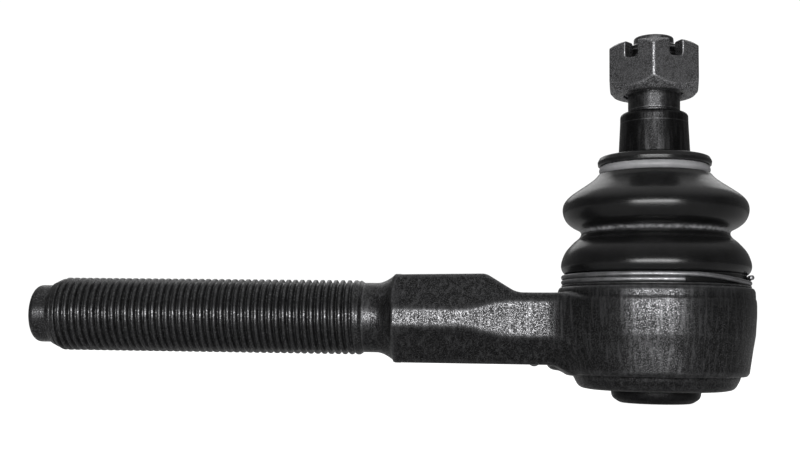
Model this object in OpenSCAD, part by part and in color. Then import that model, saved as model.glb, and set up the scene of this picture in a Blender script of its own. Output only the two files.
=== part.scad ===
// Tie rod end: a forged housing with a threaded shank, and a ball stud that swings and turns in it.
// Origin: the ball's centre, on the shank's axis. +Z runs up the stud and the shank runs along -X.

/* [Shank] */
// Distance from the ball's centre to the tip of the shank
shank_tip = 135.8; // [135:0.1:137]
// Diameter of the plain pilot ahead of the thread
pilot_d = 12.6; // [12:0.1:13]
// Length of the pilot
pilot_len = 4.3; // [4:0.1:5]
// Outer diameter of the shank thread, M16 x 1.5
thread_d = 15.9; // [15.7:0.1:16]
// Length of the threaded stretch with its lead-in
thread_len = 69.7; // [68:0.1:70]
// Diameter of the relief between the thread and the arm
neck_d = 15; // [14.6:0.1:15.4]

/* [Arm] */
// Distance from the ball's centre to the hexagonal arm's end face
hex_start = 55.1; // [54:0.1:57]
// Wrench size over the arm's top and bottom flats
hex_af = 19; // [18:0.5:20]
// Width over the two corners, which are cut off upright
hex_w = 20; // [19:0.5:20.5]
// Width of the waist between the hexagon and the housing
waist_w = 17.6; // [16:0.1:18]
// Height of the arm's lowered top beside the housing
arm_top = 5.5; // [5:0.1:6]
// Distance from the ball's centre to where the top starts to slope down
slope_start = 35.5; // [34:0.1:38]
// Length of that slope
slope_len = 6.4; // [5:0.1:8]

/* [Housing] */
// Largest outer diameter of the housing
housing_d = 41.3; // [40.8:0.1:42]
// Diameter of the collar that the dust boot grips
collar_d = 34; // [33:0.1:34.4]
// Height of the collar's top face
collar_top = 10.8; // [10.4:0.1:11.2]
// Height of the shoulder that the boot's rim rests on
shoulder_z = 6.9; // [6.8:0.1:7]
// Outer diameter of the rim that is rolled over the cover plate
rim_d = 34.2; // [34:0.1:35]
// Height of the rolled rim's lower face
rim_z = -14.4; // [-15:0.1:-14.4]

/* [Cover plate] */
// Diameter of the round boss below the rim
boss_d = 19; // [18.6:0.1:20]
// Height of the boss's lower face
boss_z = -17.1; // [-17.3:0.1:-17.1]
// Thickness of the pressed plate
plate_t = 1.5; // [1.4:0.1:1.6]

/* [Ball stud] */
// Diameter of the ball
ball_d = 25; // [24.6:0.1:25]
// Diameter of the neck above the ball
neck_stud_d = 11.2; // [10:0.1:11.2]
// Diameter at the top of the taper
taper_d = 14.3; // [14:0.1:14.6]
// Height of the top of the taper
taper_top = 43.3; // [43:0.1:44]
// Growth of the taper's diameter for each unit of length
taper_rate = 0.1; // [0.08:0.01:0.1]
// Outer diameter of the stud thread, M12 x 1.25
stud_thread_d = 11.8; // [11.7:0.1:12]
// Height of the stud's end
stud_top = 60.9; // [60.7:0.1:62]
// Diameter of the plain point at the stud's end
tip_d = 8.5; // [8:0.1:9]
// Length of that point
tip_len = 1.6; // [1.2:0.1:1.6]
// Diameter of the cross hole for a cotter pin
cotter_d = 2.8; // [2.5:0.1:2.8]

/* [Castle nut] */
// Wrench size of the nut
nut_af = 18.5; // [18:0.1:19]
// Height of the nut's bearing face, as delivered
nut_z = 48.2; // [48:0.1:48.6]
// Height of the nut
nut_h = 10.65; // [10.4:0.05:11]
// Width of the six slots
slot_w = 3; // [2.8:0.1:3.4]
// Depth of the slots
slot_depth = 3.75; // [3.5:0.05:4]
// Turn of the nut and of the cross hole about the stud, in degrees
nut_turn = -6; // [-30:1:30]

/* [Dust boot] */
// Thickness of the rubber
boot_t = 1.7; // [1.4:0.1:2]
// Diameter of the boot's sealing lip
lip_d = 23.9; // [23:0.1:24.2]
// Diameter of the clamp's wire
wire_d = 1; // [0.8:0.1:1]

/* [Hidden] */
$fn = 96;

steel_black = [0.12, 0.12, 0.13];
steel_grey = [0.32, 0.32, 0.34];
rubber_black = [0.06, 0.06, 0.07];
ring_grey = [0.66, 0.67, 0.68];
resin_white = [0.85, 0.84, 0.78];

eps = 0.01;
run_gap = 0.06;                      // radial clearance of every running fit
ball_r = ball_d / 2;
seat_r = ball_r + 1.8;               // outer radius of the two plastic seats
mouth_angle = 29;                    // the stud may lean this far
mouth_gap = 0.3;                     // room between the leaning neck and the mouth
plate_top = rim_z + 1.6 + plate_t;   // the rolled lip is 1.6 thick
plate_r = seat_r + 0.8;
pocket_r = boss_d / 2 - 1.6;
pocket_z = boss_z + 1.6;
hub_z = pocket_z + 1.9;              // lower face of the lower seat's hub
neck_start = shank_tip - pilot_len - thread_len;
hex_corner = hex_af / sqrt(3);
slope_end = slope_start - slope_len;
cotter_z = nut_z + nut_h - slot_depth + cotter_d / 2 + 0.4;
ring_z = [31.1, 32.85];              // lower and upper face of the boot's top ring
clamp_z = shoulder_z + 1.05;         // height of the clamp's lower turn
clamp_rise = wire_d + 0.05;          // its upper turn lies this much higher

// Points on an arc about c with radius r, from angle a0 to a1
function arc(c, r, a0, a1, n = 6) =
    [for (i = [0:n]) let (a = a0 + (a1 - a0) * i / n) c + r * [cos(a), sin(a)]];

// Radius of the stud's taper at height z
function taper_r(z) = (taper_d + (taper_top - z) * taper_rate) / 2;

// Radius of the conical mouth at height z, clear of a neck that leans by mouth_angle
function mouth_r(z) =
    (neck_stud_d / 2 + mouth_gap + z * sin(mouth_angle)) / cos(mouth_angle);

// A wire of diameter d swept through a path of [radius, angle, height] points round +Z
module swept_wire(path, d) {
    sides = 8;
    steps = len(path) - 1;
    points = [
        for (at = path, k = [0:sides - 1])
            let (b = 360 * k / sides, r = at[0] + d / 2 * cos(b))
            [r * cos(at[1]), r * sin(at[1]), at[2] + d / 2 * sin(b)]
    ];
    skin = [
        for (i = [0:steps - 1], k = [0:sides - 1])
            let (a = i * sides + k, b = i * sides + (k + 1) % sides)
            [a, a + sides, b + sides, b]
    ];
    first = [for (k = [0:sides - 1]) k];
    last = [for (k = [0:sides - 1]) steps * sides + sides - 1 - k];
    polyhedron(points, concat([first], skin, [last]), convexity = 6);
}

// Everything the stud and its seats need inside the housing
module cavity() {
    sphere(r = seat_r);
    translate([0, 0, plate_top]) cylinder(r = seat_r, h = -plate_top);
    translate([0, 0, rim_z + 1.6]) cylinder(r = plate_r, h = plate_t);
    translate([0, 0, rim_z - 1]) cylinder(r = plate_r - 3, h = 3);
    mouth(collar_top + 0.2);
}

// The conical mouth from inside the ball's cavity up to height top
module mouth(top) {
    low = 5;
    rotate_extrude()
        polygon([[0, low], [mouth_r(low), low], [mouth_r(top), top], [0, top]]);
}

module housing_body() {
    r = housing_d / 2;
    edge = 0.8;
    rim_round = 2.4;
    groove_r = collar_d / 2 - 0.4;
    rotate_extrude()
        polygon(concat(
            [[0, collar_top], [collar_d / 2 - 0.4, collar_top],
             [collar_d / 2, collar_top - 0.4], [collar_d / 2, collar_top - 0.9],
             [groove_r, collar_top - 1.3], [groove_r, shoulder_z]],
            arc([r - 1.1, shoulder_z - 0.8], 0.8, 90, 10, 4),
            [[r - 0.2, 4.7], [r, 4.4], [r, 2], [r - 0.4, -2.9], [r - 0.8, -5.3],
             [r - 1.25, -7.8], [r - 1.65, -10.3]],
            arc([r - 1.75 - edge, -10.5], edge, 0, -90, 3),
            [[rim_d / 2, -11.3]],
            arc([rim_d / 2 - rim_round, rim_z + rim_round], rim_round, 0, -90, 6),
            [[0, rim_z]]));
}

// Side view of the arm: a flat top that slopes down, and a bottom that curves into the housing
module arm_side_view() {
    h = hex_af / 2;
    bend_r = 26;
    bend_x = -27.5;
    rotate([90, 0, 0])
        linear_extrude(60, center = true)
            polygon(concat(
                [[-hex_start, -h], [-hex_start, h], [-slope_start, h], [-slope_end, arm_top],
                 [-8, arm_top], [-8, -11.4]],
                arc([bend_x, -h - bend_r], bend_r, 68, 90, 5)));
}

// Plan view of the arm: the hexagon narrows to a waist and flares out to the housing
module arm_plan_view() {
    flare_r = 7;
    w = waist_w / 2;
    c = [-sqrt(pow(housing_d / 2 + flare_r, 2) - pow(w + flare_r, 2)), w + flare_r];
    half = concat(
        [[-hex_start, hex_w / 2], [-40, hex_w / 2], [-33, w]],
        arc(c, flare_r, -90, -atan2(c[1], -c[0]), 6),
        [[-8, w + 3]]);
    linear_extrude(60, center = true)
        polygon(concat(half, [for (i = [len(half) - 1:-1:0]) [half[i][0], -half[i][1]]]));
}

module arm() {
    h = hex_af / 2;
    w = hex_w / 2;
    side = (hex_corner - w) * sqrt(3);
    web_z = side + (w - waist_w / 2) * sqrt(3);  // half height of the waist's upright sides
    root = 27.5;                                 // the bottom starts to curve down here
    intersection() {
        union() {
            translate([-hex_start, 0, 0])
                rotate([90, 0, 90])
                    linear_extrude(hex_start - 12)
                        polygon([[-w, -side], [-hex_corner / 2, -h], [hex_corner / 2, -h],
                                 [w, -side], [w, side], [hex_corner / 2, h],
                                 [-hex_corner / 2, h], [-w, side]]);
            translate([-slope_end, -15, -web_z])
                cube([slope_end - 8, 30, 2 * web_z]);
            translate([-root, -hex_corner / 2, -14])
                cube([root - 8, hex_corner, 10]);
        }
        arm_side_view();
        arm_plan_view();
    }
}

module shank() {
    lead_in = 2.6;
    dome = 3;
    r = thread_d / 2;
    thread_tip = shank_tip - pilot_len;
    rotate([0, -90, 0])
        rotate_extrude()
            polygon(concat(
                [[0, hex_start - 5], [hex_af / 2 - 0.1, hex_start - 5],
                 [hex_af / 2 - 0.1, hex_start]],
                arc([neck_d / 2 + 4.4, neck_start - 2.6], 4.4, -130, -180, 4),
                [[neck_d / 2, neck_start], [r, neck_start + 0.5], [r, thread_tip - lead_in],
                 [pilot_d / 2 + 0.35, thread_tip], [pilot_d / 2, thread_tip]],
                arc([pilot_d / 2 - dome, shank_tip - 0.3 - dome], dome, 0, 84, 6),
                [[0, shank_tip]]));
}

module housing() {
    color(steel_black)
        difference() {
            union() {
                housing_body();
                arm();
                shank();
            }
            cavity();
        }
}

module upper_seat() {
    color(resin_white)
        difference() {
            intersection() {
                sphere(r = seat_r - 0.05);
                cylinder(r = seat_r + 1, h = seat_r);
            }
            sphere(r = ball_r + run_gap);
            mouth(seat_r + 1);
        }
}

module lower_seat() {
    travel_gap = 0.5;
    color(resin_white)
        difference() {
            union() {
                translate([0, 0, plate_top + travel_gap])
                    cylinder(r = seat_r - 0.1, h = -plate_top - travel_gap - 0.8);
                translate([0, 0, hub_z]) cylinder(r = pocket_r - 0.4, h = 4);
            }
            sphere(r = ball_r + run_gap);
        }
}

module preload_spring() {
    wire = 1.1;
    turns = 2.25;
    steps = 72;
    outer_r = pocket_r - 0.9;
    inner_r = 3.4;
    rise = hub_z - pocket_z - wire;
    path = [
        for (i = [0:steps])
            let (t = i / steps)
            [outer_r + (inner_r - outer_r) * t, 360 * turns * t, pocket_z + wire / 2 + rise * t]
    ];
    color(steel_grey)
        swept_wire(path, wire);
}

module cover_plate() {
    corner = 2.3;
    r = boss_d / 2;
    color(steel_black)
        difference() {
            union() {
                translate([0, 0, plate_top - plate_t])
                    cylinder(r = plate_r - 0.05, h = plate_t);
                rotate_extrude()
                    polygon(concat(
                        [[0, boss_z]],
                        arc([r - corner, boss_z + corner], corner, -90, 0, 6),
                        [[r, plate_top - plate_t + eps], [0, plate_top - plate_t + eps]]));
            }
            translate([0, 0, pocket_z]) cylinder(r = pocket_r, h = 10);
        }
}

module ball_stud() {
    base_z = 25.5;
    step_r = stud_thread_d / 2;
    blank_r = step_r - 0.4;
    point_r = tip_d / 2;
    point_z = stud_top - tip_len;
    color(steel_grey)
        difference() {
            union() {
                intersection() {
                    sphere(r = ball_r);
                    translate([0, 0, -ball_r + 0.5]) cylinder(r = ball_r + 1, h = 2 * ball_r);
                }
                rotate_extrude()
                    polygon(concat(
                        [[0, 0], [neck_stud_d / 2, 0], [neck_stud_d / 2, base_z - 5.4],
                         [taper_r(base_z + 2), base_z], [taper_r(base_z + 2), base_z + 2]],
                        arc([taper_d / 2 - 1, taper_top], 1, 0, 90, 4),
                        [[step_r, taper_top + 1.1], [blank_r, taper_top + 1.7],
                         [blank_r, nut_z + 0.6], [step_r, nut_z + 0.9],
                         [step_r, point_z - 0.9], [point_r, point_z],
                         [point_r, stud_top - 0.4], [point_r - 0.4, stud_top],
                         [0, stud_top]]));
            }
            rotate([0, 90, nut_turn])
                translate([-cotter_z, 0, 0])
                    cylinder(d = cotter_d, h = 2 * stud_thread_d, center = true);
        }
}

module castle_nut() {
    corner_r = nut_af / sqrt(3);
    face_r = 8.45;
    color(steel_grey)
        rotate([0, 0, nut_turn])
            translate([0, 0, nut_z])
                difference() {
                    intersection() {
                        rotate([0, 0, 30]) cylinder(r = corner_r, h = nut_h, $fn = 6);
                        rotate_extrude()
                            polygon([[0, 0], [face_r, 0], [corner_r + 0.1, 2.75],
                                     [corner_r + 0.1, nut_h - 1.3], [8.9, nut_h], [0, nut_h]]);
                    }
                    translate([0, 0, -1])
                        cylinder(r = stud_thread_d / 2 + run_gap, h = nut_h + 2);
                    for (turn = [0:60:120])
                        rotate([0, 0, turn])
                            translate([-nut_af, -slot_w / 2, nut_h - slot_depth])
                                cube([2 * nut_af, slot_w, slot_depth + 1]);
                }
}

// Outline of the boot's outer skin from its rim up to its lip, as [radius, height]
function boot_skin() = concat(
    [[collar_d / 2 + 0.02, shoulder_z + 0.03], [19.6, shoulder_z + 0.03], [19.6, clamp_z - 0.75],
     [18.7, clamp_z - 0.6], [18.7, clamp_z + clamp_rise + 0.6], [19.2, 9.85]],
    arc([15.3, 12.2], 4.4, -22, 58, 7),
    [[15.5, 18], [15.5, 18.6]],
    arc([15.6, 23.2], 3.8, -48, 52, 8),
    [[13, 30], [11.8, 30.9], [9.65, 31.05], [9.65, 32.9], [lip_d / 2, 32.95],
     [lip_d / 2, 33.7], [lip_d / 2 - 0.4, 34.3], [8.2, 35.4]]);

// The same for its inner skin, from the lip back down to the rim
function boot_lining() = concat(
    [[taper_r(35.4) + 0.05, 35.4], [taper_r(29.6) + 0.05, 29.6], [10.6, 29.4]],
    arc([15.6, 23.2], 3.8 - boot_t, 50, -40, 6),
    [[13.8, 18.9], [13.8, 17.8]],
    arc([15.3, 12.2], 4.4 - boot_t, 50, 0, 5),
    [[collar_d / 2 + 0.02, collar_top + 0.1]]);

module dust_boot() {
    color(rubber_black)
        rotate_extrude()
            polygon(concat(boot_skin(), boot_lining()));
}

module boot_top_ring() {
    edge = 0.45;
    r0 = 9.7;
    r1 = 11.75;
    color(ring_grey)
        rotate_extrude()
            polygon([[r0, ring_z[0]], [r1 - edge, ring_z[0]], [r1, ring_z[0] + edge],
                     [r1, ring_z[1] - edge], [r1 - edge, ring_z[1]], [r0, ring_z[1]]]);
}

// One wire of nearly two turns, which crosses from the lower to the upper turn between its ends
module boot_clamp_wire() {
    r = 18.75 + wire_d / 2;
    low_end = -79;                   // angle of the cut end on the lower turn
    sweep = 301;                     // angle that each turn lies flat for
    flick = 0.6;                     // the upper end stands out by this much
    flick_angle = 6;
    total = 360 + sweep;
    steps = 96;
    path = [
        for (i = [0:steps])
            let (a = total * i / steps)
            let (crossing = min(1, max(0, (a - sweep) / (360 - sweep))))
            let (out = max(0, (a - total + flick_angle) / flick_angle))
            [r + flick * out, low_end - a, clamp_z + clamp_rise * crossing]
    ];
    color(steel_grey)
        swept_wire([for (i = [steps:-1:0]) path[i]], wire_d);
}

housing();
upper_seat();
lower_seat();
preload_spring();
cover_plate();
ball_stud();
castle_nut();
dust_boot();
boot_top_ring();
boot_clamp_wire();
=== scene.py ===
"""Tie rod end: forged housing with a threaded shank, ball stud with castle nut, and rubber boot.

Lengths inside the shape functions are millimetres; make_mesh() turns them into metres.
"""
import math

import bmesh
import bpy
import numpy as np
from mathutils import Matrix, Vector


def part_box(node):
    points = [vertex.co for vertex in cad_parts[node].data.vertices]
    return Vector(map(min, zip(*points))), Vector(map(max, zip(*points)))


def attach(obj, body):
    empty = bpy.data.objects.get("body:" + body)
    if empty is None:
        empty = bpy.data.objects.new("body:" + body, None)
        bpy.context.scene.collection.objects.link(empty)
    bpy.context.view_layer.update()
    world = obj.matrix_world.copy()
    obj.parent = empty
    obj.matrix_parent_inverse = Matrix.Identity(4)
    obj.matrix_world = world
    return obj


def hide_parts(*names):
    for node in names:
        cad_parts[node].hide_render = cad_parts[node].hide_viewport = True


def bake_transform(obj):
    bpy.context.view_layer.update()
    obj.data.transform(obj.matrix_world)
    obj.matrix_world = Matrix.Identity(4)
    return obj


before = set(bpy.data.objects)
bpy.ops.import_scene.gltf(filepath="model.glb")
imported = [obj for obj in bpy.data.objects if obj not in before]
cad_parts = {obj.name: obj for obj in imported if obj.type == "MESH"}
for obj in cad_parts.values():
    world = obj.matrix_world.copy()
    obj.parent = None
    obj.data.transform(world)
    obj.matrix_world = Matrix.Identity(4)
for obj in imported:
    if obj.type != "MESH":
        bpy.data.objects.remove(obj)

MM = 0.001
TURN = 2 * math.pi
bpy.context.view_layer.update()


def mm_box(node):
    """Lowest and highest corner of a CAD node in millimetres."""
    low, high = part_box(node)
    return np.array(low) / MM, np.array(high) / MM


# ---------------------------------------------------------------- driving sizes, from the frame
HOUSING_LOW, HOUSING_HIGH = mm_box("housing")
STUD_HIGH = mm_box("ball_stud")[1]
NUT_LOW, NUT_HIGH = mm_box("castle_nut")
BOOT_LOW, BOOT_HIGH = mm_box("dust_boot")
RING_LOW, RING_HIGH = mm_box("boot_top_ring")
WIRE_LOW, WIRE_HIGH = mm_box("boot_clamp_wire")
PLATE_LOW, PLATE_HIGH = mm_box("cover_plate")

SHANK_TIP = -HOUSING_LOW[0]          # distance from the ball's centre to the shank's tip
HOUSING_R = HOUSING_HIGH[0]
COLLAR_TOP = HOUSING_HIGH[2]
RIM_Z = HOUSING_LOW[2]               # lowest edge of the rolled rim
FLANGE_LOW, FLANGE_TOP = RIM_Z + 1.6, RIM_Z + 3.1   # the cover plate's flange, inside the rim
BOOT_GAP = 0.03                      # the boot's rim stands this far above the shoulder
SHOULDER_Z = BOOT_LOW[2] - BOOT_GAP
LIP_TOP = BOOT_HIGH[2]

# ---------------------------------------------------------------- driving sizes, chosen
THREAD_R, THREAD_PITCH = 8.03, 1.5   # shank, M16 x 1.5
STUD_R, STUD_PITCH = 5.9, 1.25       # stud, M12 x 1.25
NECK_R, NECK_START = 7.5, 61.8       # plain neck between hexagon and thread, and where it starts
HEX_START = 55.1                     # the hexagon's end face
HEX_HALF, HEX_SIDE = 9.5, 9.9        # half of its height and half of its width
WAIST_HALF = 8.8                     # half of the arm's width beside the ball housing
WAIST = (-41, -30)                   # where the arm narrows from HEX_SIDE to WAIST_HALF
ARM_TOP = 5.5                        # height of the arm beside the ball housing
SLOPE = (-35.5, -29.1)               # where the arm's top slopes down to ARM_TOP
NUBS = ((-25.4, -8.75), (-21.5, -9.1))   # (x, z) of the two forging nubs under the arm
LINE_Z = 42.1                        # height of the fine line round the taper
HOLE_R, HOLE_Z = 1.4, 56.9           # the stud's cross hole
NUT_TURN = math.radians(-6)          # the nut's slots and the cross hole share this turn
BOOT_WAIST_Z = 18.3                  # the pinch between the boot's two folds
BOOT_WAIST = (15.5, BOOT_WAIST_Z)    # the point of the outline there, outside
BOOT_LINING = (14.3, BOOT_WAIST_Z)   # and inside


# ---------------------------------------------------------------- meshes
def add_object(name, data):
    """A new object in the scene for a mesh, light or camera."""
    made = bpy.data.objects.new(name, data)
    bpy.context.scene.collection.objects.link(made)
    return made


def volume(points, faces):
    """Signed volume of a closed quad mesh: the sum of its triangles' tetrahedra."""
    a, b, c, d = (points[faces[:, k]] for k in range(4))
    return (np.cross(a, b) * c).sum() / 6 + (np.cross(a, c) * d).sum() / 6


def make_mesh(name, points, quads):
    """A smooth-shaded object from millimetre points and quads; a quad with a repeated corner is a
    triangle. Faces are turned outwards by the sign of the enclosed volume."""
    if volume(points, quads) < 0:
        quads = quads[:, ::-1]
    three_sided = (quads == np.roll(quads, -1, 1)).any(1)
    triangles = [list(dict.fromkeys(q)) for q in quads[three_sided].tolist()]
    mesh = bpy.data.meshes.new(name)
    mesh.from_pydata((points * MM).tolist(), [], quads[~three_sided].tolist() + triangles)
    mesh.validate()
    mesh.shade_smooth()
    return add_object(name, mesh)


def drop_unused(points, faces):
    """The same mesh without the vertices that no face uses."""
    used, back = np.unique(faces, return_inverse=True)
    return points[used], back.reshape(faces.shape)


def grid_faces(rows, columns, wrap_rows=False):
    """Quads over a rows x columns grid of vertices that closes round its columns, and with
    wrap_rows also from its last row to its first."""
    index = np.arange(rows * columns).reshape(rows, columns)
    index = np.hstack([index, index[:, :1]])
    if wrap_rows:
        index = np.vstack([index, index[:1]])
    corners = [index[:-1, :-1], index[1:, :-1], index[1:, 1:], index[:-1, 1:]]
    return np.stack(corners, -1).reshape(-1, 4)


def revolve(name, path, segments, closed=False, shape=None):
    """Turns a path of (radius, height) round +Z. shape(radius, height, angle) may change the
    radius. A path that isn't closed starts and ends on the axis, in one vertex each."""
    angle = np.arange(segments) / segments * TURN
    radius = np.repeat(path[:, :1], segments, 1)
    height = np.repeat(path[:, 1:], segments, 1)
    if shape is not None:
        radius = shape(radius, height, angle[None, :])
    points = np.stack([radius * np.cos(angle), radius * np.sin(angle), height], -1)
    faces = grid_faces(len(path), segments, closed)
    points = points.reshape(-1, 3)
    if not closed:
        last = (len(path) - 1) * segments
        faces = np.where(faces < segments, 0, faces)
        faces = np.where(faces >= last, last, faces)
    return make_mesh(name, *drop_unused(points, faces))


# ---------------------------------------------------------------- outlines and blends
def arc(centre, radius, start, end, count):
    """A count of points on an arc, angles in degrees."""
    a = np.radians(np.linspace(start, end, count))
    return [(centre[0] + radius * c, centre[1] + radius * s) for c, s in zip(np.cos(a), np.sin(a))]


def rounded(corners, closed=False, step=0.5):
    """A path through (x, y) or (x, y, fillet) corners: each corner with a fillet becomes an arc,
    and straight stretches are cut into pieces no longer than step."""
    at = np.array([c[:2] for c in corners], float)
    count = len(at)
    path = []
    for i, corner in enumerate(corners):
        inner = closed or 0 < i < count - 1
        fillet = corner[2] if len(corner) > 2 and inner else 0
        if not fillet:
            path.append(at[i])
            continue
        back, on = at[i - 1] - at[i], at[(i + 1) % count] - at[i]
        reach = 0.49 * min(np.linalg.norm(back), np.linalg.norm(on))
        back, on = back / np.linalg.norm(back), on / np.linalg.norm(on)
        half = math.acos(np.clip(back @ on, -1, 1)) / 2
        cut = min(fillet / math.tan(half), reach)
        centre = at[i] + (back + on) / np.linalg.norm(back + on) * cut / math.cos(half)
        first, last = at[i] + back * cut - centre, at[i] + on * cut - centre
        a0 = math.atan2(first[1], first[0])
        swing = (math.atan2(last[1], last[0]) - a0 + math.pi) % TURN - math.pi
        a = a0 + swing * np.linspace(0, 1, max(4, math.ceil(abs(swing) / 0.2)))
        size = cut * math.tan(half)
        path.extend(centre + size * np.stack([np.cos(a), np.sin(a)], 1))
    path = np.array(path)
    if closed:
        path = np.vstack([path, path[:1]])
    pieces = []
    for a, b in zip(path[:-1], path[1:]):
        length = np.linalg.norm(b - a)
        if length > 1e-6:
            cuts = max(1, math.ceil(length / step))
            pieces.append(a + (b - a) * (np.arange(cuts) / cuts)[:, None])
    return np.vstack(pieces if closed else pieces + [path[-1:]])


def curve_through(points, step=0.3, before=None, after=None):
    """Catmull-Rom curve through the given points, sampled about every step. before and after are
    the points that it would come from and go on to, and give its direction at the ends."""
    p = np.array(points, float)
    first = 2 * p[0] - p[1] if before is None else before
    last = 2 * p[-1] - p[-2] if after is None else after
    p = np.vstack([first, p, last])
    pieces = []
    for a, b, c, d in zip(p[:-3], p[1:-2], p[2:-1], p[3:]):
        cuts = max(2, math.ceil(np.linalg.norm(c - b) / step))
        t = (np.arange(cuts) / cuts)[:, None]
        pieces.append(0.5 * (2 * b + (c - a) * t + (2 * a - 5 * b + 4 * c - d) * t ** 2
                             + (3 * b - a - 3 * c + d) * t ** 3))
    return np.vstack(pieces + [p[-2:-1]])


def groove(height, angle, pitch, crest=0.14, root=0.84):
    """Depth of a right-hand thread, 0 on the crest to 1 in the root, at a height and angle."""
    wave = np.abs(2 * ((height / pitch - angle / TURN) % 1) - 1)
    return np.clip((wave - crest) / (root - crest), 0, 1)


def smooth_max(a, b, k):
    """The larger of a and b, with a round blend of size k where they are close."""
    h = np.maximum(k - np.abs(a - b), 0) / k
    return np.maximum(a, b) + h * h * k / 4


def smooth_min(a, b, k):
    """The smaller of a and b, with a round blend of size k where they are close."""
    return -smooth_max(-a, -b, k)


def ease(t):
    """Goes from 0 to 1 as t does, and starts and stops gently."""
    t = np.clip(t, 0, 1)
    return t * t * (3 - 2 * t)


def outline_distance(corners):
    """A function giving the signed distance from (x, y) to a closed outline, negative inside,
    read from a table on a 0.1 mm grid."""
    start = np.array([c[:2] for c in corners], float)
    side = np.roll(start, -1, 0) - start
    margin, cell = 6, 0.1
    low = start.min(0) - margin
    size = np.ceil((start.max(0) + margin - low) / cell).astype(int)
    gx, gy = np.meshgrid(*[low[k] + cell * np.arange(size[k]) for k in (0, 1)], indexing="ij")
    best, inside = np.full(gx.shape, 1e9), np.zeros(gx.shape, bool)
    for (x, y), (dx, dy) in zip(start, side):
        t = np.clip(((gx - x) * dx + (gy - y) * dy) / (dx * dx + dy * dy + 1e-12), 0, 1)
        best = np.minimum(best, np.hypot(gx - x - t * dx, gy - y - t * dy))
        if dy:
            crosses = (gy < y) != (gy < y + dy)
            inside ^= crosses & (gx < x + (gy - y) * dx / dy)
    table = np.where(inside, -best, best)

    def distance(x, y):
        """The table's value at a point, blended between the four nearest grid points."""
        fx = np.clip((x - low[0]) / cell, 0, size[0] - 1.001)
        fy = np.clip((y - low[1]) / cell, 0, size[1] - 1.001)
        ix, iy = fx.astype(int), fy.astype(int)
        fx, fy = fx - ix, fy - iy
        near = table[ix, iy] * (1 - fx) + table[ix + 1, iy] * fx
        far = table[ix, iy + 1] * (1 - fx) + table[ix + 1, iy + 1] * fx
        return near * (1 - fy) + far * fy

    return distance


def isosurface(name, field, low, high, cell):
    """The surface where field(x, y, z) is 0, by surface nets: one vertex in each cell that the
    surface crosses, at the mean of its edge crossings, then moved onto the surface in three
    steps along the field's slope."""
    axes = [np.arange(a, b + cell, cell) for a, b in zip(low, high)]
    value = field(*np.meshgrid(*axes, indexing="ij"))
    shape = np.array(value.shape)
    low = np.array(low, float)
    inside = value < 0
    total = np.zeros(tuple(shape - 1) + (3,), np.float32)
    hits = np.zeros(tuple(shape - 1), np.int8)
    quads = []
    cell_id = np.arange(np.prod(shape - 1)).reshape(shape - 1)
    for k in range(3):
        i, j = [n for n in range(3) if n != k]
        head = [slice(None)] * 3
        tail = [slice(None)] * 3
        head[k], tail[k] = slice(None, -1), slice(1, None)
        change = inside[tuple(head)] != inside[tuple(tail)]
        at = np.argwhere(change)
        a, b = value[tuple(head)][change], value[tuple(tail)][change]
        crossing = at.astype(np.float32)
        crossing[:, k] += a / (a - b)
        around = []
        for di, dj in ((0, 0), (-1, 0), (-1, -1), (0, -1)):
            where = at.copy()
            where[:, i] += di
            where[:, j] += dj
            ok = ((where >= 0) & (where < shape - 1)).all(1)
            np.add.at(total, tuple(where[ok].T), crossing[ok])
            np.add.at(hits, tuple(where[ok].T), 1)
            where = np.clip(where, 0, shape - 2)
            around.append(cell_id[tuple(where.T)])
        faces = np.stack(around, 1)
        turn = inside[tuple(head)][change] ^ (k == 1)
        quads.append(np.where(turn[:, None], faces, faces[:, ::-1]))
    quads = np.vstack(quads)
    points = (total / np.maximum(hits, 1)[..., None]).reshape(-1, 3).astype(float) * cell + low
    points, quads = drop_unused(points, quads)
    reach = cell / 4
    for _ in range(3):
        here = field(*points.T)
        slope = np.stack([field(*(points + reach * e).T) - here for e in np.eye(3)], 1) / reach
        step = here[:, None] * slope / np.maximum((slope ** 2).sum(1), 0.25)[:, None]
        points = points - np.clip(step, -cell / 2, cell / 2)
    return make_mesh(name, points, quads)


def read(items, name, width, kind=np.float32):
    """One property of a mesh's vertices, normals or edges as an array of rows of that width."""
    values = np.empty(len(items) * width, kind)
    items.foreach_get(name, values)
    return values.reshape(-1, width)


def note_edges(piece, strength=1.0, bare_metal_and_highlight=None):
    """Stores the attributes that the materials read. rest_place is the vertex's place at rest.
    The wear attribute is how sharply the surface is convex there, from 0 to 1: strength times how
    far the normal turns outwards in each millimetre, as the mean of the vertex's edges. The marks
    function given last adds to it at (x, y, z): paler bare metal, and painted highlights where a
    fold or edge catches the light."""
    mesh = piece.data
    place = read(mesh.vertices, "co", 3)
    normal = read(mesh.vertex_normals, "vector", 3)
    a, b = read(mesh.edges, "vertices", 2, np.int32).T
    gap = place[b] - place[a]
    length_squared = np.maximum((gap ** 2).sum(1), 1e-12)
    bend = ((normal[b] - normal[a]) * gap).sum(1) / length_squared
    curve, links = np.zeros(len(place)), np.zeros(len(place))
    for end in (a, b):
        np.add.at(curve, end, bend)
        np.add.at(links, end, 1)
    curve = curve / np.maximum(links, 1) * MM
    wear = np.maximum(curve * strength, 0)
    # Paler bare metal, and painted highlights where a fold or edge catches the light, are added
    # here.
    if bare_metal_and_highlight is not None:
        wear = wear + bare_metal_and_highlight(*(place.T / MM))
    wear_and_highlight_tone = mesh.attributes.new("wear_and_highlight", "FLOAT", "POINT")
    wear_and_highlight_tone.data.foreach_set("value", np.clip(wear, 0, 1).astype(np.float32))
    rest = mesh.attributes.new("rest_place", "FLOAT_VECTOR", "POINT")
    rest.data.foreach_set("vector", place.ravel())


def along_shank(piece):
    """Turns a piece that was made round +Z so that its height runs along -X."""
    mesh = piece.data
    x, y, z = read(mesh.vertices, "co", 3).T
    mesh.vertices.foreach_set("co", np.stack([-z, y, x], 1).ravel())
    mesh.update()
    return piece


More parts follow.
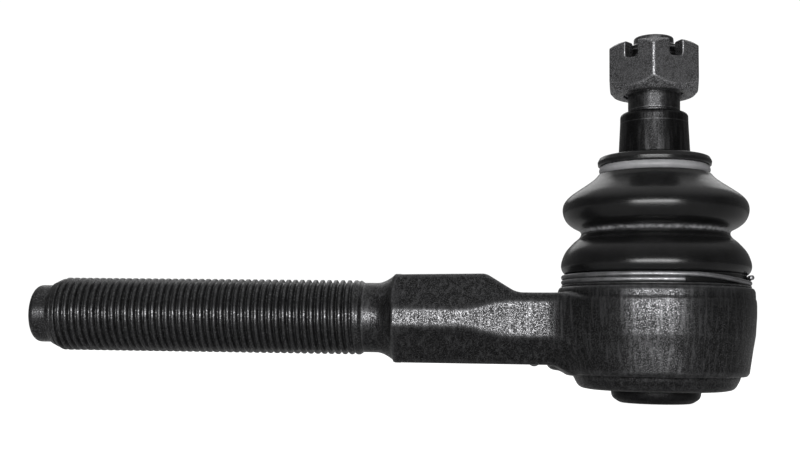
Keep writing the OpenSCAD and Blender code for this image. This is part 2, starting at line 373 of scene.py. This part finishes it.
# ---------------------------------------------------------------- the pieces' shapes
def forging_field():
    """Distance field of the forging, in words: the ball housing's three turned outlines, joined to
    the arm's hexagon bar and the neck by round roots, cut by the arm's sloping top, less the
    cavity for the seats and the cover plate."""
    r, rim_r, inner = HOUSING_R, 17.1, 12.1
    seat_r, recess_r, mouth_r = 14.35, 15.1, 5.9
    lean = math.radians(29)          # half of the mouth's angle, for the stud's swing
    main = outline_distance(rounded(
        [(0, 4.5), (r - 0.08, 4.5, 0.2), (r, 3.2, 3), (r - 0.05, 1), (r - 0.35, -2.9, 4),
         (r - 0.8, -5.3, 4), (r - 1.2, -7.8, 4), (r - 1.65, -10.6), (r - 2.2, -11.3, 0.6),
         (0, -11.3)], closed=True))
    collar = outline_distance(rounded(
        [(0, 3), (r - 0.45, 3), (r - 0.2, 4.35, 0.1), (r - 0.22, 4.75, 0.15),
         (r - 0.25, 6.1, 0.5), (r - 0.6, SHOULDER_Z, 0.6), (16.6, SHOULDER_Z, 0.3),
         (16.6, COLLAR_TOP - 1.3, 0.3), (17, COLLAR_TOP - 0.9, 0.2), (17, COLLAR_TOP, 0.4),
         (0, COLLAR_TOP)], closed=True))
    rim = outline_distance(rounded(
        [(0, -10.5), (rim_r + 0.3, -10.5), (rim_r, -12, 0.8), (rim_r - 1.1, RIM_Z + 0.35, 1.9),
         (rim_r - 3.2, RIM_Z, 1.5), (inner, RIM_Z, 0.5), (inner, FLANGE_LOW), (0, FLANGE_LOW)],
        closed=True))

    def cavity(radius, z):
        """The seats' sphere and cylinder, the recess for the cover plate's flange, the opening
        inside the rim, and the cone of the mouth."""
        seat = np.minimum(np.hypot(radius, z) - seat_r, np.maximum(radius - seat_r, z))
        plate = np.maximum(radius - recess_r, z - FLANGE_TOP)
        seat = np.minimum(np.maximum(seat, FLANGE_TOP - z), np.maximum(plate, FLANGE_LOW - z))
        seat = np.minimum(seat, np.maximum(radius - inner, z + 8))
        mouth = (radius - z * math.tan(lean)) * math.cos(lean) - mouth_r
        return np.minimum(seat, np.maximum(mouth, 5 - z))

    def bar(x, y, z):
        """The arm: hexagon flats, upright sides, sloping top and end face."""
        ay, az = np.abs(y), np.abs(z)
        slant = ay * math.cos(math.pi / 6) + az / 2 - HEX_HALF
        narrow = ease((x - WAIST[0]) / (WAIST[1] - WAIST[0]))
        side_half = HEX_SIDE + (WAIST_HALF - HEX_SIDE) * narrow
        draft = np.clip(SLOPE[0] - 0.5 - x, 0, 25) * 0.018
        top = z - HEX_HALF + draft
        d = smooth_max(np.maximum(top, -z - HEX_HALF), slant, 0.7)
        d = smooth_max(d, ay - side_half, 0.3)
        return np.maximum(smooth_max(d, -HEX_START - x, 0.5), x + 8)

    def flare(x, y, z):
        """The neck and its concave flare up to the hexagon's end face."""
        s = np.clip((-x - HEX_START) / 3.9, 0, 1)
        size = NECK_R + 1.95 * (1 - s) ** 1.7
        d = (np.hypot(y, z) - size) * 0.85
        return np.maximum(d, np.maximum(-NECK_START - 0.2 - x, x + HEX_START - 1))

    def field(x, y, z):
        """All of it. The root between arm and housing is tighter along the arm's lower edge."""
        radius = np.hypot(x, y)
        run, drop = SLOPE[1] - SLOPE[0], HEX_HALF - ARM_TOP
        slope = ((x - SLOPE[0]) * drop + (z - HEX_HALF) * run) / math.hypot(run, drop)
        root = 4.2 + 2.8 * np.clip((z + HEX_HALF) / 4, 0, 1)
        arm = bar(x, y, z)
        for nub_x, nub_z in NUBS:
            nub = np.hypot(np.hypot(x - nub_x, y / 2), z - nub_z) - 1.2
            arm = smooth_min(arm, nub, 0.3)
        d = smooth_min(arm, main(radius, z), root)
        d = smooth_max(d, smooth_min(slope, z - ARM_TOP, 0.8), 0.45)
        d = smooth_min(d, flare(x, y, z), 0.6)
        d = np.minimum(d, collar(radius, z))
        d = np.minimum(d, rim(radius, z))
        return np.maximum(d, -cavity(radius, z))

    return field


def make_forging():
    """The forging's surface, from the neck to the far side of the ball housing."""
    low = (-NECK_START - 1, -HOUSING_R - 1, RIM_Z - 1)
    high = (HOUSING_R + 1, HOUSING_R + 1, COLLAR_TOP + 1)
    cell = 0.36
    return isosurface("housing_forging", forging_field(), low, high, cell)


def make_shank():
    """The threaded shank: an outline turned round the axis, cut by a right-hand M16 thread that
    fades in over the first turns beside the neck."""
    tip, pilot_r, pilot_length = SHANK_TIP, 6.3, 4.3
    thread_tip = tip - pilot_length
    depth, inside_neck = 0.78, 3
    path = rounded(
        [(0, NECK_START - inside_neck), (NECK_R - 0.5, NECK_START - inside_neck),
         (NECK_R - 0.5, NECK_START - 0.55),
         (THREAD_R, NECK_START + 0.9, 0.3), (THREAD_R, thread_tip - 2.7, 0.8),
         (pilot_r + 0.5, thread_tip - 0.15, 0.25), (pilot_r, thread_tip, 0.15),
         (pilot_r, tip - 0.35, 2), (4, tip, 2), (0, tip)],
        step=THREAD_PITCH / 12)

    def cut(radius, height, angle):
        """The outline or the thread, whichever is smaller."""
        fade_in = np.clip((height - NECK_START - 0.3) / (2 * THREAD_PITCH), 0, 1)
        thread = THREAD_R - depth * groove(height, angle, THREAD_PITCH, 0.3, 0.9) * fade_in
        threaded = (height > NECK_START) & (height < thread_tip - 0.1)
        return np.where(threaded, np.minimum(radius, thread), radius)

    return along_shank(revolve("threaded_shank", path, 128, shape=cut))


def make_stud():
    """Ball with a flat underneath, neck, 1:10 taper, plain shank, right-hand M12 thread and dog
    point in one turned outline. The taper's radius loses 0.05 mm for each millimetre of height."""
    ball_r, neck_r, flat_z = STUD_HIGH[0], 5.6, 12
    plain_r, relief_r = 5.48, 5.35
    point_r, point_length = 4.2, 1.6
    top = STUD_HIGH[2]
    taper_top, taper_low = 44.3, 27.5
    line_r = 7.18
    base_r = line_r + (LINE_Z - taper_low) * 0.05
    start = NUT_LOW[2] + 0.2
    exit_angle = math.degrees(math.asin(neck_r / ball_r))
    bottom = 90 - math.degrees(math.acos(flat_z / ball_r))
    path = rounded(
        [(0, -flat_z)] + arc((0, 0), ball_r, -bottom, 90 - exit_angle, 40)
        + [(neck_r, taper_low - 7.4, 3), (base_r, taper_low - 2, 1.5), (base_r, taper_low, 1),
           (line_r, LINE_Z, 0.3), (line_r - 0.04, taper_top, 1),
           (relief_r, taper_top + 0.06, 0.2), (relief_r, taper_top + 0.5, 0.2),
           (plain_r, taper_top + 0.7, 0.1), (plain_r, start, 0.4), (STUD_R, start + 0.5, 0.2),
           (STUD_R, top - point_length - 0.9, 0.2), (point_r + 0.07, top - point_length, 0.3),
           (point_r, top, 0.45), (0, top)],
        step=0.16)

    def cut(radius, height, angle):
        """The outline or the thread, whichever is smaller."""
        fade_in = np.clip((height - start) / STUD_PITCH, 0, 1)
        thread = STUD_R - 0.7 * groove(height, angle, STUD_PITCH) * fade_in
        return np.where(height > start, np.minimum(radius, thread), radius)

    stud = revolve("ball_stud_turned", path, 160, shape=cut)
    return drill(stud, HOLE_R, HOLE_Z, NUT_TURN)


def drill(piece, radius, height, turn):
    """Cuts a round cross hole through a piece at a height, along the direction turn."""
    reach = 9
    path = rounded([(0, -reach), (radius, -reach), (radius, reach), (0, reach)], step=3)
    bit = revolve("cross_hole_bit", path, 48)
    bit.rotation_euler = (math.pi / 2, 0, turn + math.pi / 2)
    bit.location = (0, 0, height * MM)
    bpy.context.view_layer.update()
    cut = piece.modifiers.new("cross_hole", "BOOLEAN")
    cut.object = bit
    cut.solver = "EXACT"
    graph = bpy.context.evaluated_depsgraph_get()
    mesh = bpy.data.meshes.new_from_object(piece.evaluated_get(graph))
    piece.modifiers.clear()
    piece.data = mesh
    mesh.name = piece.name
    bpy.data.objects.remove(bit)
    return piece


def nut_field():
    """Distance field of the castle nut: a hexagon under two chamfer cones, less six slots and a
    bore with the thread's grooves. The hexagon has a corner at the direction -90 degrees + turn."""
    half = 9.25                      # half over flats
    low, high = NUT_LOW[2], NUT_HIGH[2]
    slot_half, slot_z = 1.5, high - 3.75
    flats = (0, TURN / 6, TURN / 3)  # the directions that three of the flats face
    c, s = math.cos(-NUT_TURN), math.sin(-NUT_TURN)

    def field(x, y, z):
        """Turned into the nut's own directions, then built up from flats to grooves."""
        x, y = c * x - s * y, s * x + c * y
        radius, angle = np.hypot(x, y), np.arctan2(y, x)
        sides = [np.abs(x * math.cos(a) + y * math.sin(a)) - half for a in flats]
        d = smooth_max(smooth_max(sides[0], sides[1], 0.35), sides[2], 0.35)
        d = smooth_max(d, low - z, 0.25)
        d = smooth_max(d, z - high, 0.2)
        d = smooth_max(d, (radius - 8.45 - (z - low) * 0.88) * 0.75, 0.18)
        d = smooth_max(d, (radius - 8.9 - (high - z) * 1.45) * 0.57, 0.18)
        slots = [np.abs(-x * math.sin(a) + y * math.cos(a)) - slot_half for a in flats]
        slot = np.minimum(np.minimum(slots[0], slots[1]), slots[2])
        slot = smooth_max(slot, slot_z - z, 0.9)
        d = smooth_max(d, -slot, 0.2)
        bore = STUD_R + 0.07 + 0.5 * (1 - groove(z, angle + NUT_TURN, STUD_PITCH, 0.3, 0.9))
        chamfer = np.maximum(6.6 - np.minimum(z - low, high - z), 0)
        return smooth_max(d, np.maximum(bore, chamfer) - radius, 0.08)

    return field


def make_nut():
    """The castle nut's surface."""
    reach = 11.2
    low = (-reach, -reach, NUT_LOW[2] - 0.5)
    high = (reach, reach, NUT_HIGH[2] + 0.5)
    cell = 0.17
    return isosurface("castle_nut_slotted", nut_field(), low, high, cell)


def make_lower_boot():
    """The fold next to the housing: the rim with the groove for the clamp wire, the fold outside,
    and the lining back down to the housing's collar."""
    groove_r, rim_z = 18.7, SHOULDER_Z + BOOT_GAP
    low, high = WIRE_LOW[2], WIRE_HIGH[2]
    bead_top = (19.1, high + 0.32)
    bead = rounded([(17.02, rim_z), (19.62, rim_z, 0.2), (19.68, low - 0.1, 0.15),
                    (groove_r, low, 0.3), (groove_r, high + 0.1, 0.25), bead_top], step=0.25)
    fold = curve_through([bead_top, (19.5, 10.4), (19.75, 11.3), (19.58, 12.6), (18.75, 14.5),
                          (17.15, 16.35), (15.95, 17.4), BOOT_WAIST], after=(15.85, 19))
    lining = curve_through([BOOT_LINING, (14.7, 17.2), (16.4, 15.3), (17.6, 13.7), (17.9, 12.2),
                            (17.4, 11), (17.02, COLLAR_TOP + 0.1)])
    path = np.vstack([bead[:-1], fold, lining])
    return revolve("boot_lower_fold", path, 224, closed=True)


def make_upper_boot():
    """The fold next to the stud: the fold outside, the neck under the ring, the sealing lip, and
    the lining back down to the waist."""
    low, high = RING_LOW[2], RING_HIGH[2]
    neck_r = -RING_LOW[0] - 2.1
    fold_top, lip_end = (11.8, low - 0.05), (10.6, 29.4)
    fold = curve_through([BOOT_WAIST, (15.85, 19.05), (17.3, 19.85), (18.5, 20.85),
                          (19.22, 22.2), (19.42, 23.6), (19.05, 24.95), (17.95, 26.25),
                          (16.25, 27.5), (14.4, 28.75), (12.75, 30), fold_top],
                         before=(15.9, 17.5))
    lip = rounded([fold_top, (neck_r, low - 0.02, 0.2), (neck_r, high + 0.03, 0.2),
                   (11.85, high + 0.03, 0.3), (11.98, 33.8, 0.3), (11.5, 34.7, 0.5),
                   (8.7, LIP_TOP - 0.05, 0.5), (7.6, LIP_TOP, 0.2), (7.88, 29.6, 0.3), lip_end],
                  step=0.25)
    lining = curve_through([lip_end, (13.4, 27.6), (15.9, 25.9), (17.3, 24.3), (17.6, 22.8),
                            (17.1, 21.4), (16, 20.4), (14.7, 19.4), BOOT_LINING])
    path = np.vstack([fold[:-1], lip[:-1], lining])
    return revolve("boot_upper_fold", path, 224, closed=True)


def make_ring():
    """The grey ring under the lip: a flat band with round edges."""
    low, high, r, bore_r = RING_LOW[2], RING_HIGH[2], RING_HIGH[0], 9.72
    path = rounded([(bore_r, low + 0.02, 0.3), (r - 0.5, low, 0.5),
                    (r, (low + high) / 2 - 0.1, 0.8), (r - 0.35, high, 0.4),
                    (bore_r, high - 0.02, 0.3)], closed=True, step=0.2)
    return revolve("boot_neck_ring", path, 224, closed=True)


def sweep(name, path, across, radius, sides=16):
    """A round bar along a path. across is the direction of the section's first axis at each
    point; the second one is at right angles to it and to the path. Both ends are closed by a
    chamfer and a flat face: edge is the face's radius and bulge its length, for a bar of 1."""
    edge, bulge = 0.86, 0.16
    along = np.gradient(path, axis=0)
    along /= np.linalg.norm(along, axis=1)[:, None]
    up = np.cross(along, across)
    up /= np.linalg.norm(up, axis=1)[:, None]
    out = np.cross(up, along)
    b = (np.arange(sides) / sides * TURN)[None, :, None]
    ring = path[:, None] + radius * (out[:, None] * np.cos(b) + up[:, None] * np.sin(b))
    points = np.vstack([path[:1], path[:1] + (ring[0] - path[:1]) * edge, ring.reshape(-1, 3),
                        path[-1:] + (ring[-1] - path[-1:]) * edge, path[-1:]])
    points[:sides + 1] -= along[0] * radius * bulge
    points[-sides - 1:] += along[-1] * radius * bulge
    faces = grid_faces(len(path) + 2, sides) + 1
    turn = np.arange(sides)
    near, far = turn + 1, turn + 1 + (len(path) + 1) * sides
    first = np.stack([turn * 0, near, np.roll(near, -1), np.roll(near, -1)], 1)
    last = np.stack([turn * 0 + len(points) - 1, np.roll(far, -1), far, far], 1)
    return make_mesh(name, points, np.vstack([faces, first, last]))


def make_wire():
    """The clamp: a round wire that lies flat for most of its first turn, crosses up beside its
    own cut end, lies flat again and ends in a short tail that is bent outwards. Angles are in
    degrees along the wire, and the first end is at the direction start."""
    wire_r, start, flat, crossed, tail = 0.5, -79, 301, 352, 5
    r = WIRE_HIGH[1] - wire_r
    rise = 2 * wire_r + 0.05
    total = 360 + flat
    a = np.linspace(0, total, 900)
    crossing = ease((a - flat - 4) / (crossed - flat))
    out = np.clip((a - total + tail) / tail, 0, 1) ** 2 * 0.75
    angle = np.radians(start - a)
    height = WIRE_LOW[2] + wire_r + rise * crossing
    across = np.stack([np.cos(angle), np.sin(angle), 0 * angle], 1)
    path = across * (r + out)[:, None] + np.outer(height, (0, 0, 1))
    return sweep("boot_wire_clamp", path, across, wire_r)


def make_plate():
    """The pressed cover plate: a flange held by the rim, and the round boss."""
    r, sheet, low = 9.5, 1.6, PLATE_LOW[2]
    flange_r, top = PLATE_HIGH[0], PLATE_HIGH[2]
    path = rounded([(0, low), (r - 2.1, low, 1.9), (r - 0.35, low + 1.1, 1.6),
                    (r, FLANGE_LOW, 0.6), (flange_r, FLANGE_LOW, 0.2), (flange_r, top, 0.2),
                    (r - sheet, top, 0.8), (r - sheet, low + sheet, 1.2), (0, low + sheet)],
                   step=0.3)
    return revolve("cover_plate_pressed", path, 192)


def copy_spring():
    """The preload spring: the CAD node's own coil with its doubled vertices merged, so that it can
    close up as the seat comes down on it."""
    coil = bmesh.new()
    coil.from_mesh(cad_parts["preload_spring"].data)
    bmesh.ops.remove_doubles(coil, verts=coil.verts, dist=1e-6)
    mesh = bpy.data.meshes.new("preload_coil")
    coil.to_mesh(mesh)
    coil.free()
    mesh.shade_smooth()
    return add_object("preload_coil", mesh)


# ---------------------------------------------------------------- materials
def new_group(name, inputs, outputs):
    """A shader node group with the named sockets; returns it, its input node and its output
    node."""
    group = bpy.data.node_groups.new(name, "ShaderNodeTree")
    for title, kind, value in inputs:
        made = group.interface.new_socket(title, in_out="INPUT", socket_type=kind)
        if value is not None:
            made.default_value = value
    for title, kind in outputs:
        group.interface.new_socket(title, in_out="OUTPUT", socket_type=kind)
    return group, group.nodes.new("NodeGroupInput"), group.nodes.new("NodeGroupOutput")


def node(tree, kind, links=(), **settings):
    """Adds a node; settings name its properties or, where they match an input, its values."""
    made = tree.nodes.new(kind)
    for key, value in settings.items():
        title = key.replace("_", " ").title()
        if hasattr(made, key):
            setattr(made, key, value)
        else:
            made.inputs[title].default_value = value
    for source, target in links:
        tree.links.new(source, made.inputs[target])
    return made


def ramp(tree, source, low, high, start=0.0, end=1.0):
    """Maps source from low..high onto start..end."""
    made = tree.nodes.new("ShaderNodeMapRange")
    made.clamp = True
    for title, value in (("From Min", low), ("From Max", high), ("To Min", start), ("To Max", end)):
        made.inputs[title].default_value = value
    tree.links.new(source, made.inputs["Value"])
    return made.outputs["Result"]


def grain_group():
    """Pitted skin. Height is 0.6 of fine noise plus coarse noise, Speckle marks the highest fine
    grains, Cloud is the coarse noise, for the slow change of colour, and Streak is noise drawn out
    along Z."""
    group, start, end = new_group(
        "pitted_grain",
        [("Place", "NodeSocketVector", None), ("Size", "NodeSocketFloat", 2500.0),
         ("Coarse", "NodeSocketFloat", 400.0)],
        [("Height", "NodeSocketFloat"), ("Speckle", "NodeSocketFloat"),
         ("Cloud", "NodeSocketFloat"), ("Streak", "NodeSocketFloat")])
    fine = node(group, "ShaderNodeTexNoise", [(start.outputs["Place"], "Vector"),
                                              (start.outputs["Size"], "Scale")],
                detail=1.5, roughness=0.6)
    wide = node(group, "ShaderNodeTexNoise", [(start.outputs["Place"], "Vector"),
                                              (start.outputs["Coarse"], "Scale")],
                detail=4.0, roughness=0.55)
    drawn = node(group, "ShaderNodeVectorMath", [(start.outputs["Place"], 0)],
                 operation="MULTIPLY")
    drawn.inputs[1].default_value = (1, 1, 0.09)
    lines = node(group, "ShaderNodeTexNoise", [(drawn.outputs["Vector"], "Vector")],
                 scale=1300.0, detail=3.0, roughness=0.6)
    fine_part = node(group, "ShaderNodeMath", [(fine.outputs["Fac"], 0)], operation="MULTIPLY")
    fine_part.inputs[1].default_value = 0.6
    height = node(group, "ShaderNodeMath", [(fine_part.outputs[0], 0), (wide.outputs["Fac"], 1)],
                  operation="ADD")
    group.links.new(height.outputs[0], end.inputs["Height"])
    group.links.new(ramp(group, fine.outputs["Fac"], 0.48, 0.66), end.inputs["Speckle"])
    group.links.new(wide.outputs["Fac"], end.inputs["Cloud"])
    group.links.new(ramp(group, lines.outputs["Fac"], 0.5, 0.68), end.inputs["Streak"])
    return group


def wear_and_highlight_group():
    """Edge wear and painted highlights: the stored mask times 0.25 to 1 by noise."""
    group, start, end = new_group("wear_and_highlight_mask", [("Place", "NodeSocketVector", None)],
                                  [("Mask", "NodeSocketFloat")])
    edge = node(group, "ShaderNodeAttribute", attribute_name="wear_and_highlight")
    noise = node(group, "ShaderNodeTexNoise", [(start.outputs["Place"], "Vector")],
                 scale=900.0, detail=5.0, roughness=0.65)
    broken = ramp(group, noise.outputs["Fac"], 0.35, 0.65, 0.25, 1.0)
    mask = node(group, "ShaderNodeMath", [(edge.outputs["Fac"], 0), (broken, 1)],
                operation="MULTIPLY", use_clamp=True)
    group.links.new(mask.outputs[0], end.inputs["Mask"])
    return group


GRAIN = grain_group()
WEAR_AND_HIGHLIGHT = wear_and_highlight_group()


def use_group(tree, group, place, **values):
    """Adds a node that runs a group at a place; values name the group's other inputs."""
    made = tree.nodes.new("ShaderNodeGroup")
    made.node_tree = group
    tree.links.new(place, made.inputs["Place"])
    for key, value in values.items():
        made.inputs[key.title()].default_value = value
    return made


def mix_colour(tree, factor, first, second):
    """Mixes two colours by a factor socket. Each is a socket, or a number that stands for a grey
    with 3% more blue."""
    made = tree.nodes.new("ShaderNodeMix")
    made.data_type = "RGBA"
    tree.links.new(factor, made.inputs["Factor"])
    for title, colour in (("A", first), ("B", second)):
        target = [s for s in made.inputs if s.name == title and s.type == "RGBA"][0]
        if isinstance(colour, (int, float)):
            target.default_value = (colour, colour, colour * 1.03, 1)
        else:
            tree.links.new(colour, target)
    return [s for s in made.outputs if s.type == "RGBA"][0]


def grained_skin(name, dark, light, wear_and_highlight_tone, roughness, *, grain, coarse, bump, depth, metallic=0.0,
                 specular=0.3, speckle=0.35, glint=0.0, streak=0.0, inner=False):
    """A metal, rubber or resin skin with pitted grain. The colour goes from dark to light in
    clouds. It turns towards the pale tone on the highest grains by glint, in streaks by streak, on
    sharp edges, and where the stored mask holds a painted highlight. speckle makes the highest
    grains smoother and the pits rougher. The pattern reads the piece's rest_place, or Object
    coordinates on the inner parts."""
    made = bpy.data.materials.new(name)
    made.use_nodes = True
    tree = made.node_tree
    shader = tree.nodes["Principled BSDF"]
    if inner:
        place = node(tree, "ShaderNodeTexCoord").outputs["Object"]
    else:
        place = node(tree, "ShaderNodeAttribute", attribute_name="rest_place").outputs["Vector"]
    skin = use_group(tree, GRAIN, place, size=grain, coarse=coarse)
    edge = use_group(tree, WEAR_AND_HIGHLIGHT, place)
    cloud = ramp(tree, skin.outputs["Cloud"], 0.35, 0.68)
    colour = mix_colour(tree, cloud, dark, light)
    if glint:
        flecks = ramp(tree, skin.outputs["Speckle"], 0.0, 1.0, 0.0, glint)
        colour = mix_colour(tree, flecks, colour, wear_and_highlight_tone)
    if streak:
        lines = ramp(tree, skin.outputs["Streak"], 0.0, 1.0, 0.0, streak)
        colour = mix_colour(tree, lines, colour, wear_and_highlight_tone)
    # Edge wear, and the painted highlights stored in the same mask, turn the colour pale.
    colour = mix_colour(tree, edge.outputs["Mask"], colour, wear_and_highlight_tone)
    tree.links.new(colour, shader.inputs["Base Color"])
    rough = ramp(tree, skin.outputs["Speckle"], 0.0, 1.0, roughness + speckle * 0.25,
                 max(roughness - speckle * 0.35, 0.05))
    tree.links.new(rough, shader.inputs["Roughness"])
    shader.inputs["Metallic"].default_value = metallic
    shader.inputs["Specular IOR Level"].default_value = specular
    bumps = node(tree, "ShaderNodeBump", [(skin.outputs["Height"], "Height")], strength=bump,
                 distance=depth)
    tree.links.new(bumps.outputs["Normal"], shader.inputs["Normal"])
    return made


def dress(piece, body, slot, material, *nodes, wear=1.0, bare_metal_and_highlight=None):
    """Gives a piece its attributes, material and body, and hides the nodes it stands for.
    slot is not used.
    """
    note_edges(piece, wear, bare_metal_and_highlight)
    piece.data.materials.clear()
    piece.data.materials.append(material)
    if body:
        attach(piece, body)
    if nodes:
        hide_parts(*nodes)
    return piece


def stud_paleness_and_painted_glint(x, y, z):
    """The stud's metal is paler on the shank, more so on its end; on the taper's fine line the
    pale band is a painted highlight, where the edge catches the light.
    """
    return 0.2 * (z > 44.5) + 0.35 * (z > 57.8) + 0.35 * (abs(z - LINE_Z) < 0.12)


def painted_waist_highlight(x, y, z):
    """Painted highlight: the rubber is painted pale grey in the pinch of the waist, where the
    fold catches the light, as a bell curve of the height.
    """
    return 0.9 * np.exp(-((z - BOOT_WAIST_Z - 0.45) / 0.36) ** 2)


forged_black = grained_skin("forged_black_coat", 0.009, 0.013, 0.14, 0.36, metallic=0.9,
                            grain=4600.0, coarse=900.0, bump=0.6, depth=0.00005, speckle=0.45,
                            glint=0.5, streak=0.3)
shank_steel = grained_skin("shank_black_coat", 0.012, 0.026, 0.16, 0.32, metallic=0.8,
                           grain=3200.0, coarse=500.0, bump=0.4, depth=0.00004, glint=0.4)
stud_steel = grained_skin("stud_phosphate", 0.005, 0.009, 0.2, 0.36, metallic=0.9,
                          grain=3400.0, coarse=380.0, bump=0.35, depth=0.00004, glint=0.1,
                          streak=0.12)
nut_steel = grained_skin("nut_phosphate", 0.045, 0.11, 0.5, 0.42, metallic=1.0, grain=3800.0,
                         coarse=800.0, bump=0.55, depth=0.00008, speckle=0.4, glint=0.85)
boot_rubber = grained_skin("boot_rubber", 0.003, 0.005, 0.2, 0.235, specular=0.27, grain=2600.0,
                           coarse=240.0, bump=0.16, depth=0.00004, speckle=0.15)
ring_grey = grained_skin("neck_ring_grey", 0.16, 0.21, 0.3, 0.42, specular=0.4, grain=1500.0,
                         coarse=300.0, bump=0.15, depth=0.00004, speckle=0.15)
wire_steel = grained_skin("clamp_wire_steel", 0.17, 0.25, 0.4, 0.46, metallic=1.0, grain=2600.0,
                          coarse=500.0, bump=0.12, depth=0.00003)
plate_black = grained_skin("plate_black_coat", 0.006, 0.01, 0.05, 0.36, metallic=0.8,
                           grain=2400.0, coarse=300.0, bump=0.5, depth=0.00006)
seat_resin = grained_skin("seat_resin", 0.62, 0.7, 0.75, 0.4, specular=0.4, grain=1200.0,
                          coarse=220.0, bump=0.1, depth=0.00003, speckle=0.1, inner=True)
inner_steel = grained_skin("inner_spring_steel", 0.2, 0.3, 0.5, 0.3, metallic=1.0, grain=2600.0,
                           coarse=500.0, bump=0.12, depth=0.00003)


# ---------------------------------------------------------------- pieces that ride on one body
dress(make_forging(), "housing", "forged_steel", forged_black, "housing", wear=0.9)
dress(make_shank(), "housing", "forged_steel", shank_steel, wear=0.12)
dress(make_plate(), "housing", "plate_steel", plate_black, "cover_plate")
dress(make_wire(), "housing", "spring_steel", wire_steel, "boot_clamp_wire", wear=0.05)
dress(make_ring(), "boot_ring", "ring_grey", ring_grey, "boot_top_ring", wear=0.3)
# Besides the stud's paler metal, its marks paint a highlight as a pale band on the taper's fine
# line.
dress(make_stud(), "stud", "stud_steel", stud_steel, "ball_stud", wear=0.15, bare_metal_and_highlight=stud_paleness_and_painted_glint)
dress(make_nut(), "nut", "nut_steel", nut_steel, "castle_nut", wear=0.12)

# ---------------------------------------------------------------- pieces that lie between two bodies and ride on none
# Both folds carry a painted highlight: a pale band in the pinch of the waist, where the fold
# catches the light.
lower_boot = dress(make_lower_boot(), None, "boot_rubber", boot_rubber, "dust_boot", wear=0.04,
                   bare_metal_and_highlight=painted_waist_highlight)
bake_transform(lower_boot)
upper_boot = dress(make_upper_boot(), None, "boot_rubber", boot_rubber, wear=0.04, bare_metal_and_highlight=painted_waist_highlight)
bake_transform(upper_boot)
spring = dress(copy_spring(), None, "spring_steel", inner_steel, "preload_spring", wear=0.1)
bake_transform(spring)

# ---------------------------------------------------------------- CAD pieces kept as they are
for seat in ("upper_seat", "lower_seat"):
    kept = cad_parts[seat]
    kept.data.materials.clear()
    kept.data.materials.append(seat_resin)


# ---------------------------------------------------------------- floor, light and camera
def stand(thing, right, up, away, place):
    """Puts a light or camera at a place in millimetres, with its own three axes as given."""
    matrix = np.eye(4)
    matrix[:3, :3] = np.stack([right, up, away], 1)
    matrix[:3, 3] = np.array(place) * MM
    thing.matrix_world = Matrix(matrix.tolist())


def make_stage():
    """A wide pale floor that the cover plate's boss stands on. It glows to the camera, so that it
    runs into the white backdrop, and far less to the object."""
    half = 4000.0
    z = PLATE_LOW[2] - 0.02
    corners = np.array([(-half, -half, z), (half, -half, z), (half, half, z), (-half, half, z)])
    mesh = bpy.data.meshes.new("floor")
    mesh.from_pydata((corners * MM).tolist(), [], [(0, 1, 2, 3)])
    floor = add_object("floor", mesh)
    pale = bpy.data.materials.new("pale_floor")
    pale.use_nodes = True
    shader = pale.node_tree.nodes["Principled BSDF"]
    shader.inputs["Base Color"].default_value = (0.5, 0.5, 0.5, 1)
    shader.inputs["Roughness"].default_value = 0.3
    shader.inputs["Specular IOR Level"].default_value = 0.5
    shader.inputs["Emission Color"].default_value = (1, 1, 1, 1)
    seen = node(pale.node_tree, "ShaderNodeLightPath").outputs["Is Camera Ray"]
    glow = ramp(pale.node_tree, seen, 0, 1, 0.1, 0.97)
    pale.node_tree.links.new(glow, shader.inputs["Emission Strength"])
    mesh.materials.append(pale)


def make_light(name, place, target, width, height, power):
    """A rectangular light at place that faces target, in millimetres, with its power in watts."""
    light = bpy.data.lights.new(name, "AREA")
    light.shape = "RECTANGLE"
    light.size, light.size_y = width * MM, height * MM
    light.energy = power
    away = np.array(place, float) - np.array(target, float)
    across = np.cross((0, 0, 1), away)
    axes = (across, np.cross(away, across), away)
    stand(add_object(name, light), *[axis / np.linalg.norm(axis) for axis in axes], place)


def make_world():
    """Studio surroundings: a white backdrop for the camera. In the reflections the walls are dim
    in front and a little lighter behind, and the ceiling is brighter."""
    world = bpy.data.worlds.new("studio")
    bpy.context.scene.world = world
    world.use_nodes = True
    tree = world.node_tree
    direction = node(tree, "ShaderNodeTexCoord").outputs["Generated"]
    split = node(tree, "ShaderNodeSeparateXYZ", [(direction, "Vector")])
    side = ramp(tree, split.outputs["Y"], -0.5, 0.6, 0.05, 0.16)
    over = ramp(tree, split.outputs["Z"], 0.5, 0.95, 0.0, 0.7)
    wall = node(tree, "ShaderNodeMath", [(side, 0), (over, 1)], operation="ADD").outputs[0]
    seen = node(tree, "ShaderNodeLightPath").outputs["Is Camera Ray"]
    bright = node(tree, "ShaderNodeMix", [(seen, "Factor"), (wall, "A")])
    bright.inputs["B"].default_value = 1.05
    tree.links.new(bright.outputs["Result"], tree.nodes["Background"].inputs["Strength"])
    tree.nodes["Background"].inputs["Color"].default_value = (1, 1, 1, 1)


def make_camera():
    """The camera stands in front, a little below the ball's centre, and looks slightly up."""
    place = (-26.99, -251.73, -4.48)
    yaw, pitch, roll = math.radians(6.24), math.radians(5.51), math.radians(0.85)
    data = bpy.data.cameras.new("camera")
    data.sensor_width, data.lens = 36.0, 52.56
    data.clip_start, data.clip_end = 0.01, 20
    forward = np.array([-math.sin(yaw) * math.cos(pitch), math.cos(yaw) * math.cos(pitch),
                        math.sin(pitch)])
    right = np.array([math.cos(yaw), math.sin(yaw), 0])
    up = np.cross(right, forward)
    camera = add_object("camera", data)
    stand(camera, right * math.cos(roll) + up * math.sin(roll),
          up * math.cos(roll) - right * math.sin(roll), -forward, place)
    bpy.context.scene.camera = camera


make_stage()
make_world()
make_light("front_softbox", (-60, -620, 30), (-20, 0, 0), 620, 220, 8.0)
make_light("back_softbox", (-60, 700, 480), (-40, 0, 10), 900, 400, 1.3)
make_camera()
bpy.context.scene.view_settings.view_transform = "Standard"
